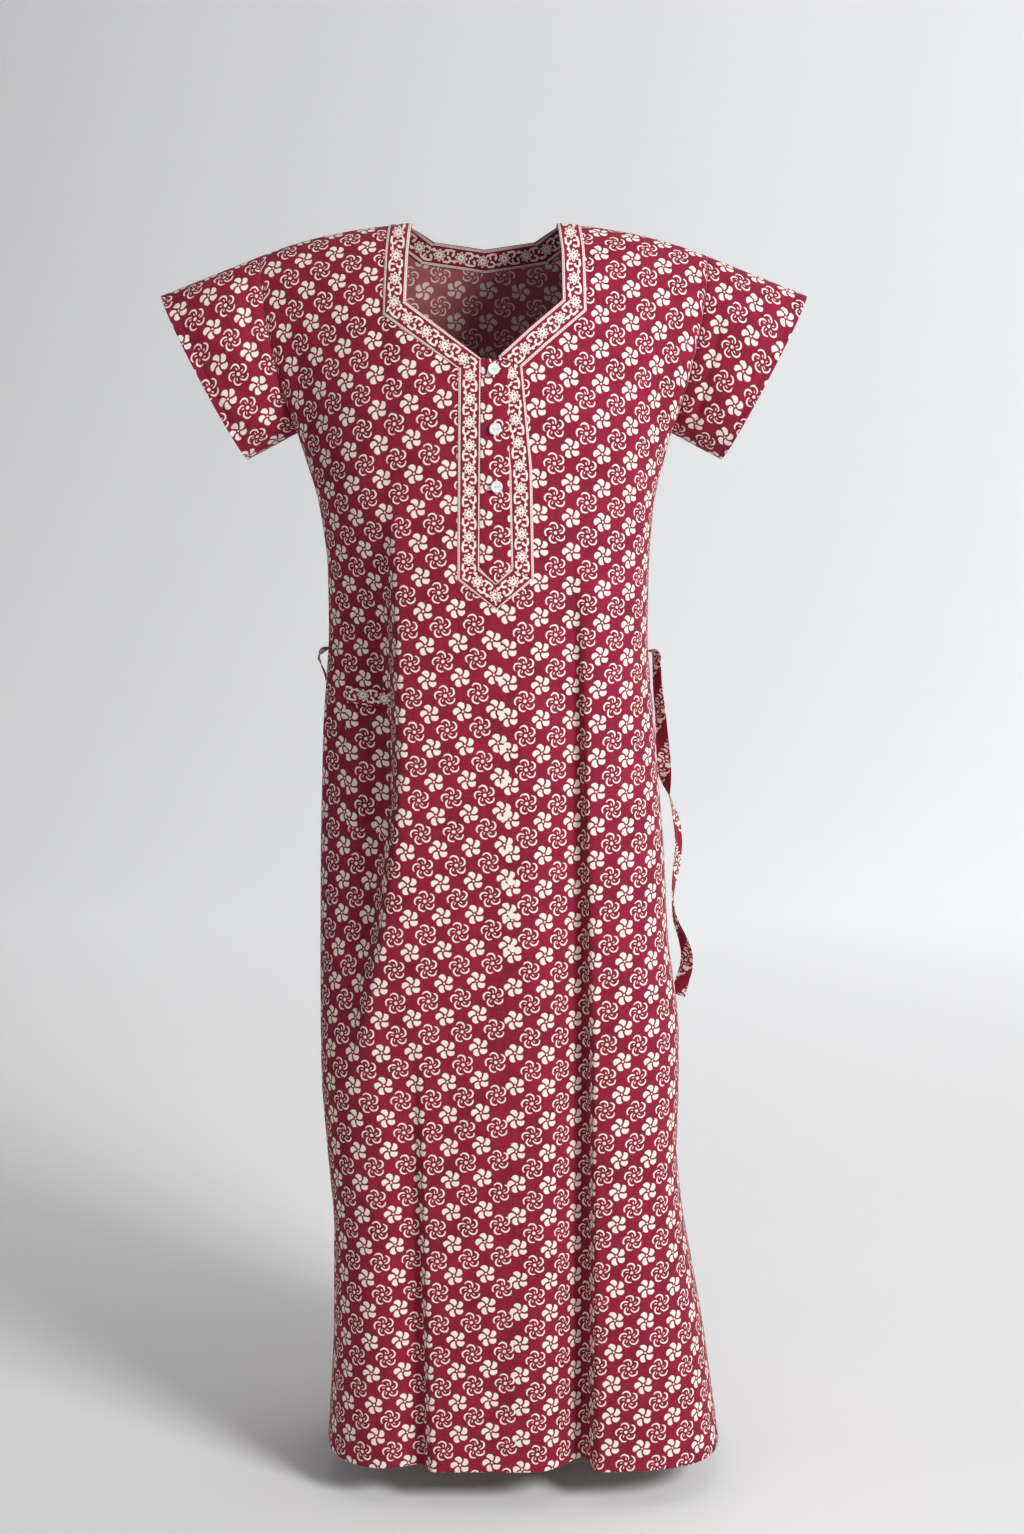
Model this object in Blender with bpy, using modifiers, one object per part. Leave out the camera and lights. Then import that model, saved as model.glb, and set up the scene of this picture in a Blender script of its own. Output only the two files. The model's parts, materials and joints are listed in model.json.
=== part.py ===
"""A long cotton gown with short sleeves, a banded V neck, a buttoned placket and waist ties.

Metres, +Z up, front towards -Y. The origin is between the tops of the shoulders, where the gown hangs.
"""

import math

import bmesh
import bpy
from mathutils import Matrix, Vector
from mathutils.bvhtree import BVHTree

# Cloth and the layers that lie on the front panel, as heights above its outer face
PANEL_CLOTH = 0.0010
BAND_LAYER = (0.0004, 0.0012)
STAND_LAYER = (0.0016, 0.0024)
SEAM_GAP = 0.0004

# Body: heights are below the shoulder line
LENGTH = 1.366
UNDERARM = 0.225
CHEST_DEPTH = 0.122
BACK_DEPTH = 0.085

# Shoulder tip and armhole
SHOULDER_TIP = 0.240
SHOULDER_FALL = 0.036
ARMHOLE_INSET = 0.037
ARMHOLE_HALF_DEPTH = 0.055

# Sleeve hem: its upper and lower ends, and half its depth from front to back
SLEEVE_TOP = (0.348, -0.078)
SLEEVE_BOTTOM = (0.258, -0.254)
SLEEVE_HALF_DEPTH = 0.052
SLEEVE_SEAM = 0.0012

# Buttons
BUTTON_RADIUS = 0.00625
BUTTON_HEIGHT = 0.0040
BUTTON_HOLE_RADIUS = 0.00075
BUTTON_HOLE_SPACING = 0.0030
BUTTON_PLACES = {
    "button_top": (0.011, -0.152), "button_middle": (0.0125, -0.213), "button_bottom": (0.014, -0.273),
}
THREAD_RADIUS = 0.0008
THREAD_BAR_RADIUS = 0.00045
THREAD_LEG_RADIUS = 0.00040
BUTTONHOLE = (0.0024, 0.0150)

# Waist ties
TIE_WIDTH = 0.017
TIE_CLOTH = 0.0012

# Along the side seams: height, x of the right seam (negative) and of the left seam
SIDES = (
    (-0.225, -0.203, 0.203),
    (-0.295, -0.181, 0.185),
    (-0.360, -0.172, 0.180),
    (-0.450, -0.172, 0.179),
    (-0.550, -0.180, 0.188),
    (-0.680, -0.184, 0.199),
    (-0.780, -0.185, 0.204),
    (-0.870, -0.185, 0.217),
    (-0.950, -0.184, 0.218),
    (-1.030, -0.178, 0.216),
    (-1.100, -0.172, 0.224),
    (-1.240, -0.174, 0.250),
    (-1.366, -0.182, 0.268),
)
# Height, then how far the front and the back stand from the side seams
DEPTHS = (
    (-0.225, 0.122, 0.085),
    (-0.400, 0.122, 0.082),
    (-0.650, 0.130, 0.112),
    (-0.950, 0.143, 0.135),
    (-1.366, 0.158, 0.155),
)
# Height, then x of the front's left-hand fold edge and how far the cloth beside it sinks back
SIDE_FOLD = (
    (-0.300, -0.102, 0.000),
    (-0.420, -0.100, 0.040),
    (-0.600, -0.098, 0.045),
    (-0.750, -0.115, 0.034),
    (-0.920, -0.150, 0.000),
    (-1.366, -0.150, 0.000),
)
# Height, x and depth of the two long valleys of the skirt
RIGHT_VALLEY = ((-0.330, 0.101, 0.0), (-0.500, 0.105, 0.012), (-0.900, 0.115, 0.020), (-1.366, 0.119, 0.038))
LEFT_VALLEY = ((-0.850, -0.078, 0.0), (-1.000, -0.075, 0.010), (-1.366, -0.069, 0.020))
VALLEY_WIDTH = 0.018

CHEST_ROWS = 8
SKIRT_ROWS = 24
FRONT_COLUMNS = 30
BACK_COLUMNS = 22
CUTTER_REACH = 0.5
SLEEVE_COLUMNS = 28
SLEEVE_ROWS = 4

# Outlines seen from the front, as (x, z)
NECK_INNER_RIGHT = [(-0.078, 0.030), (-0.080, -0.030), (-0.082, -0.083), (-0.002, -0.142)]
NECK_OUTER_RIGHT = [(-0.025, -0.151), (-0.105, -0.096), (-0.103, -0.030), (-0.101, 0.030)]
NECK_INNER_LEFT = [(0.079, 0.030), (0.083, -0.030), (0.083, -0.081), (0.046, -0.111), (0.017, -0.138)]
NECK_OUTER_LEFT = [(0.040, -0.150), (0.108, -0.093), (0.106, -0.030), (0.102, 0.030)]
BACK_NECK = [(-0.079, 0.030), (-0.079, -0.006), (-0.055, -0.022), (0.0, -0.030), (0.055, -0.022),
             (0.079, -0.006), (0.079, 0.030)]
BACK_NECK_OUTER = [(0.102, 0.030), (0.102, -0.016), (0.070, -0.043), (0.0, -0.054), (-0.070, -0.043),
                   (-0.102, -0.016), (-0.102, 0.030)]
PLACKET_RIGHT = [(-0.002, -0.142), (-0.025, -0.151), (-0.027, -0.371), (-0.004, -0.360)]
PLACKET_LEFT = [(0.017, -0.138), (0.026, -0.255), (0.029, -0.360), (0.052, -0.371), (0.049, -0.255),
                (0.040, -0.150)]
TIP_RIGHT = [(-0.027, -0.371), (0.0135, -0.402), (0.0128, -0.376), (-0.004, -0.360)]
TIP_LEFT = [(0.0135, -0.402), (0.052, -0.371), (0.029, -0.360), (0.0128, -0.376)]
BUTTON_STAND = [(-0.002, -0.142), (-0.004, -0.360), (0.0128, -0.376), (0.029, -0.360), (0.026, -0.255),
                (0.017, -0.138)]
BUTTONHOLE_STAND = [(-0.0025, -0.1415), (-0.0045, -0.359), (0.0128, -0.3755), (0.0295, -0.359),
                    (0.030, -0.1400)]
POCKET_BAND = [(-0.152, -0.494), (-0.152, -0.513), (-0.101, -0.515), (-0.101, -0.497)]
POCKET_PATCH = [(-0.152, -0.513), (-0.152, -0.650), (-0.101, -0.655), (-0.101, -0.515)]

# Middle line of each waist tie, from its seam downwards
LEFT_TIE_ROUTE = (
    (0.1828, 0.003, -0.4645), (0.1873, 0.005, -0.4657), (0.1900, 0.009, -0.4690),
    (0.1908, 0.014, -0.4740), (0.1915, 0.018, -0.4850), (0.1922, 0.021, -0.5000),
    (0.1940, 0.023, -0.5180), (0.1970, 0.022, -0.5450), (0.1990, 0.022, -0.5730),
    (0.2010, 0.024, -0.6000), (0.2045, 0.028, -0.6250), (0.2125, 0.033, -0.6500),
    (0.2180, 0.036, -0.6700), (0.2200, 0.037, -0.6920), (0.2180, 0.038, -0.7180),
    (0.2145, 0.040, -0.7430), (0.2140, 0.042, -0.7650), (0.2180, 0.044, -0.7850),
    (0.2260, 0.047, -0.8040), (0.2315, 0.050, -0.8220), (0.2320, 0.053, -0.8400),
    (0.2270, 0.056, -0.8580), (0.2230, 0.059, -0.8760),
)
RIGHT_TIE_ROUTE = (
    (-0.1755, 0.003, -0.4645), (-0.1800, 0.006, -0.4657), (-0.1833, 0.012, -0.4690),
    (-0.1845, 0.020, -0.4745), (-0.1830, 0.030, -0.4840), (-0.1790, 0.040, -0.4980),
    (-0.1765, 0.047, -0.5150), (-0.1760, 0.052, -0.5450), (-0.1770, 0.055, -0.5850),
    (-0.1780, 0.056, -0.6300), (-0.1790, 0.057, -0.6800), (-0.1795, 0.058, -0.7300),
    (-0.1797, 0.058, -0.7800), (-0.1797, 0.058, -0.8300), (-0.1797, 0.058, -0.8800),
    (-0.1795, 0.058, -0.9250),
)

PART = bpy.data.collections.new("gown")
CUTTERS = bpy.data.collections.new("cutters")


def clear_scene():
    for obj in list(bpy.data.objects):
        bpy.data.objects.remove(obj, do_unlink=True)
    for collection in (PART, CUTTERS):
        bpy.context.scene.collection.children.link(collection)
    CUTTERS.hide_render = True


def material(name, colour, roughness):
    mat = bpy.data.materials.new(name)
    mat.use_nodes = True
    shader = mat.node_tree.nodes["Principled BSDF"]
    shader.inputs["Base Color"].default_value = (*colour, 1.0)
    shader.inputs["Roughness"].default_value = roughness
    shader.inputs["Metallic"].default_value = 0.0
    return mat


def station(table, z):
    """The values of a table of stations at height z, by straight lines between its rows."""
    for upper, lower in zip(table, table[1:]):
        if z >= lower[0]:
            break
    part = min(max((upper[0] - z) / (upper[0] - lower[0]), 0.0), 1.0)
    return [a + (b - a) * part for a, b in zip(upper[1:], lower[1:])]


def step(t):
    return 0.5 + 0.5 * math.tanh(t)


def front_folds(x, z):
    """How far the front sinks back at (x, z), between the folds that face forwards."""
    edge, sink = station(SIDE_FOLD, z)
    total = sink * step((edge - x) / 0.010)
    for table in (RIGHT_VALLEY, LEFT_VALLEY):
        middle, depth = station(table, z)
        total += depth * math.exp(-(((x - middle) / VALLEY_WIDTH) ** 2))
    return total


def back_folds(x, z):
    """Three soft folds of the back, which deepen from the waist to the hem."""
    growth = max(0.0, (-0.45 - z) / (LENGTH - 0.45))
    return 0.020 * growth * (0.5 - 0.5 * math.cos(x * math.tau / 0.15))


def surface(side, u, v):
    """A point of the body: side is -1 for the front and 1 for the back, and u runs from -1 to 1 across it.

    v is 0 at the shoulder line, 1 at the underarm and 2 at the hem.
    """
    if v < 1.0:
        turn = v * math.pi / 2
        along = (1 - math.cos(v * math.pi)) / 2
        tip_z = -SHOULDER_FALL - (UNDERARM - SHOULDER_FALL) * along
        middle_z = -UNDERARM * (1 - math.cos(turn))
        z = middle_z + (tip_z - middle_z) * abs(u) ** 2.6
        x = u * (SHOULDER_TIP - ARMHOLE_INSET * along**1.5)
        edge_y = ARMHOLE_HALF_DEPTH * math.sin(v * math.pi)
        middle_y = (CHEST_DEPTH if side < 0 else BACK_DEPTH) * math.sin(turn)
        power = 2.4
    else:
        z = -UNDERARM - (LENGTH - UNDERARM) * (v - 1)
        right, left = station(SIDES, z)
        x = (right + left) / 2 + u * (left - right) / 2
        edge_y = 0.0
        middle_y = station(DEPTHS, z)[0 if side < 0 else 1]
        middle_y -= front_folds(x, z) if side < 0 else back_folds(x, z)
        power = 2.4 + 2.0 * min(1.0, (v - 1) / 0.6) if side < 0 else 2.2
    roundness = 0.85 + (1 / power - 0.85) * min(1.0, max(0.0, (v - 0.5) / 0.5))
    bulge = max(0.0, 1 - abs(u) ** power) ** roundness
    return Vector((x, side * (SEAM_GAP + edge_y + (middle_y - edge_y) * bulge), z))


def offset_point(side, u, v, height):
    """The surface point at (u, v), moved out along its normal by height."""
    nudge = 0.004
    across = surface(side, min(u + nudge, 1.0), v) - surface(side, max(u - nudge, -1.0), v)
    down = surface(side, u, min(v + nudge, 2.0)) - surface(side, u, max(v - nudge, 0.0))
    normal = across.cross(down) * side
    if abs(u) == 1.0 and v >= 1.0:
        normal.y = 0.0
    if v == 0.0:
        normal.y = 0.0
    return surface(side, u, v) + normal.normalized() * height


def across_values(columns):
    """Values of u from -1 to 1, closer together where the body turns to its sides."""
    return [math.sin(math.pi / 2 * (2 * k / columns - 1)) for k in range(columns + 1)]


def down_values():
    """Values of v: the chest's rows, then the skirt's."""
    return [k / CHEST_ROWS for k in range(CHEST_ROWS)] + [1 + k / SKIRT_ROWS for k in range(SKIRT_ROWS + 1)]


def cloth_grid(side, us, vs, height):
    return [[offset_point(side, u, v, height) for u in us] for v in vs]


def slab(name, outer, inner, wrap=False):
    """One closed sheet of cloth, lofted between two like grids of points."""
    bm = bmesh.new()
    skins = [[[bm.verts.new(p) for p in row] for row in grid] for grid in (outer, inner)]
    columns = len(outer[0])
    spans = [(j, (j + 1) % columns) for j in range(columns if wrap else columns - 1)]
    for skin in skins:
        for upper, lower in zip(skin, skin[1:]):
            for j, k in spans:
                bm.faces.new((upper[j], lower[j], lower[k]))
                bm.faces.new((upper[j], lower[k], upper[k]))
    rims = [([skins[0][i], skins[1][i]], wrap) for i in (0, -1)]
    if not wrap:
        for j in (0, -1):
            rims.append(([[row[j] for row in skins[0]], [row[j] for row in skins[1]]], False))
    for (top, bottom), closed in rims:
        count = len(top)
        for j in range(count if closed else count - 1):
            k = (j + 1) % count
            bm.faces.new((top[j], top[k], bottom[k], bottom[j]))
    bmesh.ops.recalc_face_normals(bm, faces=bm.faces)
    return finish(name, bm)


def finish(name, bm):
    mesh = bpy.data.meshes.new(name)
    bm.to_mesh(mesh)
    bm.free()
    obj = bpy.data.objects.new(name, mesh)
    PART.objects.link(obj)
    return obj


def prism(name, outline, inset=0.0):
    """A cutter: the outline in x and z, drawn in by inset and carried through the gown from front to back."""
    count = len(outline)
    turn = sum(a[0] * b[1] - b[0] * a[1] for a, b in zip(outline, outline[1:] + outline[:1]))
    moved = []
    for k in range(count):
        before, here, after = (Vector(outline[(k + s) % count]) for s in (-1, 0, 1))
        first, second = (here - before).normalized(), (after - here).normalized()
        normals = [Vector((-e.y, e.x)) * math.copysign(1, turn) for e in (first, second)]
        mitre = (normals[0] + normals[1]).normalized()
        moved.append(here + mitre * inset / max(mitre.dot(normals[0]), 0.3))
    bm = bmesh.new()
    face = bm.faces.new([bm.verts.new((p.x, -CUTTER_REACH, p.y)) for p in moved])
    grown = bmesh.ops.extrude_face_region(bm, geom=[face])["geom"]
    far_side = [g for g in grown if isinstance(g, bmesh.types.BMVert)]
    bmesh.ops.translate(bm, vec=(0, 2 * CUTTER_REACH, 0), verts=far_side)
    bmesh.ops.recalc_face_normals(bm, faces=bm.faces)
    obj = finish(name, bm)
    return as_cutter(obj)


def as_cutter(obj):
    for collection in list(obj.users_collection):
        collection.objects.unlink(obj)
    CUTTERS.objects.link(obj)
    obj.display_type = "WIRE"
    return obj


def combine(obj, other, operation):
    cut = obj.modifiers.new(other.name, "BOOLEAN")
    cut.operation = operation
    cut.solver = "EXACT"
    cut.object = other


def trimmed(name, side, reach, layer, outline):
    """A band or patch: one layer of cloth over part of the body, kept where the outline is."""
    columns = FRONT_COLUMNS if side < 0 else BACK_COLUMNS
    us = [u for u in across_values(columns) if reach[0] <= u <= reach[1]]
    vs = [v for v in down_values() if reach[2] <= v <= reach[3]]
    obj = slab(name, cloth_grid(side, us, vs, layer[1]), cloth_grid(side, us, vs, layer[0]))
    combine(obj, prism(name + "_outline", outline, SEAM_GAP / 2), "INTERSECT")
    return obj


def body_panel(name, side, columns, neck):
    us, vs = across_values(columns), down_values()
    obj = slab(name, cloth_grid(side, us, vs, 0.0), cloth_grid(side, us, vs, -PANEL_CLOTH))
    combine(obj, prism(name + "_neck", neck), "DIFFERENCE")
    return obj


def sleeve(name, hand):
    """A short open sleeve: hand is -1 for the wearer's right and 1 for the left."""
    def ring(part, inward):
        points = []
        for k in range(SLEEVE_COLUMNS):
            turn = math.tau * k / SLEEVE_COLUMNS
            fall = (1 - math.cos(turn)) / 2
            swing = math.sin(turn)
            arm = Vector((SHOULDER_TIP - ARMHOLE_INSET * fall**1.5 + SLEEVE_SEAM,
                          -ARMHOLE_HALF_DEPTH * swing,
                          -SHOULDER_FALL - (UNDERARM - SHOULDER_FALL) * fall))
            hem = Vector((SLEEVE_TOP[0] + (SLEEVE_BOTTOM[0] - SLEEVE_TOP[0]) * fall,
                          -SLEEVE_HALF_DEPTH * swing,
                          SLEEVE_TOP[1] + (SLEEVE_BOTTOM[1] - SLEEVE_TOP[1]) * fall))
            point = arm.lerp(hem, part)
            lean = (hem - arm).normalized()
            out = Vector((0.0, -swing, math.cos(turn)))
            out = (out - lean * out.dot(lean)).normalized()
            point -= out * inward
            points.append(Vector((hand * point.x, point.y, point.z)))
        return points
    parts = [k / SLEEVE_ROWS for k in range(SLEEVE_ROWS + 1)]
    obj = slab(name, [ring(p, 0.0) for p in parts], [ring(p, PANEL_CLOTH) for p in parts], wrap=True)
    hang_from(obj, (hand * (SHOULDER_TIP + SLEEVE_SEAM), 0.0, -SHOULDER_FALL))
    return obj


def hang_from(obj, pivot):
    """Moves an object's origin to its joint's axis, and leaves its shape where it is."""
    obj.data.transform(Matrix.Translation(-Vector(pivot)))
    obj.location = pivot


def tie(name, route):
    """A flat sewn tie that follows its route with its broad side to the front."""
    points = [Vector(p) for p in route]
    outer, inner = [], []
    for k, point in enumerate(points):
        ahead = points[min(k + 1, len(points) - 1)] - points[max(k - 1, 0)]
        if k == 0:
            ahead = Vector((math.copysign(1, point.x), 0, 0))
        edge = Vector((-ahead.z, 0, ahead.x)).normalized() * TIE_WIDTH / 2
        face = edge.cross(ahead).normalized() * TIE_CLOTH / 2
        outer.append([point - edge + face, point + edge + face])
        inner.append([point - edge - face, point + edge - face])
    obj = slab(name, outer, inner)
    hang_from(obj, points[0] + Vector((0, 0, TIE_WIDTH / 2)))
    return obj


def turned(name, profile, steps):
    """A solid turned about its own z axis from a profile of (radius, height) points."""
    mesh = bpy.data.meshes.new(name)
    lines = [(k, k + 1) for k in range(len(profile) - 1)]
    mesh.from_pydata([(r, 0, h) for r, h in profile], lines, [])
    obj = bpy.data.objects.new(name, mesh)
    PART.objects.link(obj)
    screw = obj.modifiers.new("turn", "SCREW")
    screw.steps = screw.render_steps = steps
    screw.use_merge_vertices = True
    screw.merge_threshold = 0.00001
    return obj


def rod(bm, start, end, radius):
    """Adds a closed rod between two points."""
    axis = Vector(end) - Vector(start)
    made = bmesh.ops.create_cone(bm, cap_ends=True, segments=12, radius1=radius, radius2=radius,
                                 depth=axis.length)
    turn = Vector((0, 0, 1)).rotation_difference(axis).to_matrix().to_4x4()
    turn.translation = (Vector(start) + Vector(end)) / 2
    bmesh.ops.transform(bm, matrix=turn, verts=made["verts"])


def rod_object(name, start, end, radius):
    bm = bmesh.new()
    rod(bm, start, end, radius)
    return finish(name, bm)


def button_and_thread(name, skin, place):
    """One sewn button: a dished disc with two holes, and the thread that holds it off the under layer."""
    x, z = place
    spot, normal, _, _ = skin.ray_cast(Vector((x, -1.0, z)), Vector((0, 1, 0)))
    tilt = math.pi / 2 - math.atan2(normal.z, -normal.y)
    base = BAND_LAYER[1] + 0.0003
    pivot = spot + normal * base
    low = BUTTON_HEIGHT - base
    r = BUTTON_RADIUS
    button = turned(name, [(0.0, low), (r - 0.0012, low), (r - 0.0003, low + 0.0003), (r, low + 0.0009),
                           (r - 0.0001, low + 0.0015), (r - 0.0006, low + 0.0020), (r - 0.0013, low + 0.0021),
                           (r - 0.0022, low + 0.0016), (0.0, low + 0.0015)], 28)
    thread = rod_object(name + "_thread", (0, 0, 0), (0, 0, low - 0.0005), THREAD_RADIUS)
    spread = BUTTON_HOLE_SPACING / 2
    reach, under, over = spread + THREAD_LEG_RADIUS, low - 0.0009, low + 0.0023
    joins = [rod_object(name + "_thread_yoke", (-reach, 0, under), (reach, 0, under), THREAD_BAR_RADIUS),
             rod_object(name + "_thread_bar", (-reach, 0, over), (reach, 0, over), THREAD_BAR_RADIUS)]
    for hand in (-1, 1):
        x_hole = hand * spread
        hole = rod_object(f"{name}_hole_{hand}", (x_hole, 0, low - 0.002), (x_hole, 0, low + 0.004),
                          BUTTON_HOLE_RADIUS)
        combine(button, as_cutter(hole), "DIFFERENCE")
        joins.append(rod_object(f"{name}_leg_{hand}", (x_hole, 0, under), (x_hole, 0, over),
                                THREAD_LEG_RADIUS))
        hole.parent = button
    for piece in joins:
        combine(thread, as_cutter(piece), "UNION")
        piece.parent = thread
    for obj in (button, thread):
        obj.location = pivot
        obj.rotation_euler = (tilt, 0, 0)
    return spot, normal, tilt


def main():
    clear_scene()
    cotton = material("printed_cotton", (0.27, 0.025, 0.045), 0.85)
    shell = material("button_shell", (0.80, 0.74, 0.68), 0.30)
    sewing = material("sewing_thread", (0.75, 0.45, 0.45), 0.80)

    body_panel("front_panel", -1, FRONT_COLUMNS,
               NECK_INNER_RIGHT + [(0.017, -0.1405)] + NECK_INNER_LEFT[::-1])
    body_panel("back_panel", 1, BACK_COLUMNS, BACK_NECK)
    for name, hand in (("sleeve_right", -1), ("sleeve_left", 1)):
        sleeve(name, hand)

    neck_reach = (-0.60, 0.60, 0.0, 1.1)
    placket_reach = (-0.35, 0.45, 0.6, 1.25)
    pocket_reach = (-0.985, -0.45, 1.15, 1.45)
    bands = (
        ("neck_band_right", -1, neck_reach, BAND_LAYER, NECK_INNER_RIGHT + NECK_OUTER_RIGHT),
        ("neck_band_left", -1, neck_reach, BAND_LAYER, NECK_INNER_LEFT + NECK_OUTER_LEFT),
        ("neck_band_back", 1, neck_reach, BAND_LAYER, BACK_NECK + BACK_NECK_OUTER),
        ("placket_band_right", -1, placket_reach, BAND_LAYER, PLACKET_RIGHT),
        ("placket_band_left", -1, placket_reach, BAND_LAYER, PLACKET_LEFT),
        ("placket_tip_right", -1, placket_reach, BAND_LAYER, TIP_RIGHT),
        ("placket_tip_left", -1, placket_reach, BAND_LAYER, TIP_LEFT),
        ("button_stand", -1, placket_reach, BAND_LAYER, BUTTON_STAND),
        ("buttonhole_stand", -1, placket_reach, STAND_LAYER, BUTTONHOLE_STAND),
        ("pocket_band", -1, pocket_reach, BAND_LAYER, POCKET_BAND),
        ("pocket_patch", -1, pocket_reach, BAND_LAYER, POCKET_PATCH),
    )
    for name, side, reach, layer, outline in bands:
        trimmed(name, side, reach, layer, outline)

    skin = BVHTree.FromBMesh(front_mesh())
    for name, place in BUTTON_PLACES.items():
        spot, normal, tilt = button_and_thread(name, skin, place)
        corners = ((-1, -1), (1, -1), (1, 1), (-1, 1))
        slit = prism(name + "_slit", [(place[0] + x * BUTTONHOLE[0] / 2, place[1] + z * BUTTONHOLE[1] / 2)
                                      for x, z in corners])
        combine(bpy.data.objects["buttonhole_stand"], slit, "DIFFERENCE")
        print(name, [round(c, 6) for c in bpy.data.objects[name].location], round(math.degrees(tilt), 3))

    tie("waist_tie_right", RIGHT_TIE_ROUTE)
    tie("waist_tie_left", LEFT_TIE_ROUTE)

    for obj in PART.objects:
        if obj.name in BUTTON_PLACES:
            obj.data.materials.append(shell)
        elif obj.name.endswith("_thread"):
            obj.data.materials.append(sewing)
        else:
            obj.data.materials.append(cotton)


def front_mesh():
    """The front's outer face alone, which the buttons are placed on."""
    bm = bmesh.new()
    rows = [[bm.verts.new(p) for p in row]
            for row in cloth_grid(-1, across_values(FRONT_COLUMNS), down_values(), 0.0)]
    for upper, lower in zip(rows, rows[1:]):
        for j in range(len(upper) - 1):
            bm.faces.new((upper[j], lower[j], lower[j + 1]))
            bm.faces.new((upper[j], lower[j + 1], upper[j + 1]))
    bm.normal_update()
    return bm


main()
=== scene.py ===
"""A long printed cotton gown with a banded V neck, a buttoned placket, short sleeves and waist ties."""

import json
import math

import bmesh
import bpy
import numpy as np
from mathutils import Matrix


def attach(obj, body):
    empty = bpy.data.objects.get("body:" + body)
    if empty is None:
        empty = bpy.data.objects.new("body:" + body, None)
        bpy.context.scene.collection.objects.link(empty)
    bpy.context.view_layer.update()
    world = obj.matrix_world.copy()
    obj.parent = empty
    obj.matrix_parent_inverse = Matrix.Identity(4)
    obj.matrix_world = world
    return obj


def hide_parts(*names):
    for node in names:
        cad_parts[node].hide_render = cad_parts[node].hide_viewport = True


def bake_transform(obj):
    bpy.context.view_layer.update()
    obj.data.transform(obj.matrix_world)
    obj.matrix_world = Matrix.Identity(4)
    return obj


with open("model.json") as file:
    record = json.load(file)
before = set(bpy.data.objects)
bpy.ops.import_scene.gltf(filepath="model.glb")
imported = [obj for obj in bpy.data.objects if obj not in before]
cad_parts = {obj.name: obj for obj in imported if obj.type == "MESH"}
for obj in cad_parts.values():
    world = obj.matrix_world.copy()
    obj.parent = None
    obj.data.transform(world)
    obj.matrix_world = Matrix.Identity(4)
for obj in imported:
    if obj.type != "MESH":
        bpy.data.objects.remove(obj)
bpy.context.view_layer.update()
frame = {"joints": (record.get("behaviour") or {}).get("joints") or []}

# ---------------------------------------------------------------- studio
# A seamless pale floor that curves up all round into a wall. Behind the gown the wall glows a little: painted
# light in its emission, not a lamp, brighter to the right where the key lamp's light falls. A large lamp
# stands at the front right, a weak one at the front left and one above. The gown hangs 44 mm clear of the
# floor.
FLOOR_Z = -1.41
FLOOR_RADIUS, WALL_RADIUS, WALL_TOP = 3.0, 7.0, 5.0
CAMERA_PLACE = (0.030, -2.850, -0.042)
CAMERA_DOWN = math.radians(11)
# Name, place, width in metres, power in watts
LAMPS = (
    ("key_lamp", (2.10, -2.15, 0.85), 1.2, 36.5),
    ("fill_lamp", (-1.00, -3.40, 0.60), 2.2, 1.0),
    ("top_lamp", (0.30, -0.20, 2.60), 2.0, 7.0),
)
SURROUND = (0.90, 0.905, 0.92)
LAMP_SPREAD = math.radians(110)
# The wall behind glows with painted light, brighter to the right where the key lamp's light falls: its glow
# at the middle, and the change for each metre across
GLOW, GLOW_TILT = 0.35, 0.11


class Wire:
    """A socket of a material: an expression on it adds Math nodes, and node() adds any other."""

    def __init__(self, tree, socket):
        self.tree, self.socket = tree, socket

    def node(self, kind, inputs, out=0, **settings):
        """Adds a node, sets its settings, then gives its sockets their values or links."""
        made = self.tree.nodes.new(kind)
        for key, value in settings.items():
            setattr(made, key, value)
        for key, value in inputs.items():
            if isinstance(value, Wire):
                self.tree.links.new(value.socket, made.inputs[key])
            else:
                made.inputs[key].default_value = value
        return Wire(self.tree, made.outputs[out])

    def calc(self, operation, *values):
        return self.node("ShaderNodeMath", dict(enumerate(values)), operation=operation)

    def __add__(self, other):
        return self.calc("ADD", self, other)

    def __sub__(self, other):
        return self.calc("SUBTRACT", self, other)

    def __rsub__(self, other):
        return self.calc("SUBTRACT", other, self)

    def __mul__(self, other):
        return self.calc("MULTIPLY", self, other)

    def __truediv__(self, other):
        return self.calc("DIVIDE", self, other)

    def __neg__(self):
        return self.calc("MULTIPLY", self, -1.0)

    def __abs__(self):
        return self.calc("ABSOLUTE", self)

    __radd__, __rmul__ = __add__, __mul__

    def floor_(self):
        return self.calc("FLOOR", self)

    def fract(self):
        return self.calc("FRACT", self)

    def low(self, other):
        return self.calc("MINIMUM", self, other)

    def high(self, other):
        return self.calc("MAXIMUM", self, other)

    def clip(self):
        return self.calc("MINIMUM", self.high(0.0), 1.0)

    def long(self, other):
        """The length of the vector (self, other)."""
        return self.calc("SQRT", self * self + other * other)

    def inside(self, soft):
        """1 where a distance is below zero and 0 where it is above, over a soft edge."""
        return (0.5 - self / soft).clip()

    def blend(self, other, share):
        """This colour, mixed towards the other by a share."""
        return self.node("ShaderNodeMix", {6: self, 7: other, 0: share}, out=2, data_type="RGBA")

    def two(self, low, high):
        """A colour between two, by this share."""
        return self.node("ShaderNodeMix", {6: low, 7: high, 0: self}, out=2, data_type="RGBA")

    def parts(self):
        """The three parts of this vector."""
        split = self.node("ShaderNodeSeparateXYZ", {0: self}).socket.node.outputs
        return [Wire(self.tree, part) for part in split]


def blank_material(name):
    """A new material, its shader, and a wire that carries its object coordinates."""
    made = bpy.data.materials.new(name)
    made.use_nodes = True
    tree = made.node_tree
    place = Wire(tree, tree.nodes.new("ShaderNodeTexCoord").outputs["Object"])
    return made, tree.nodes["Principled BSDF"], place


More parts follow.
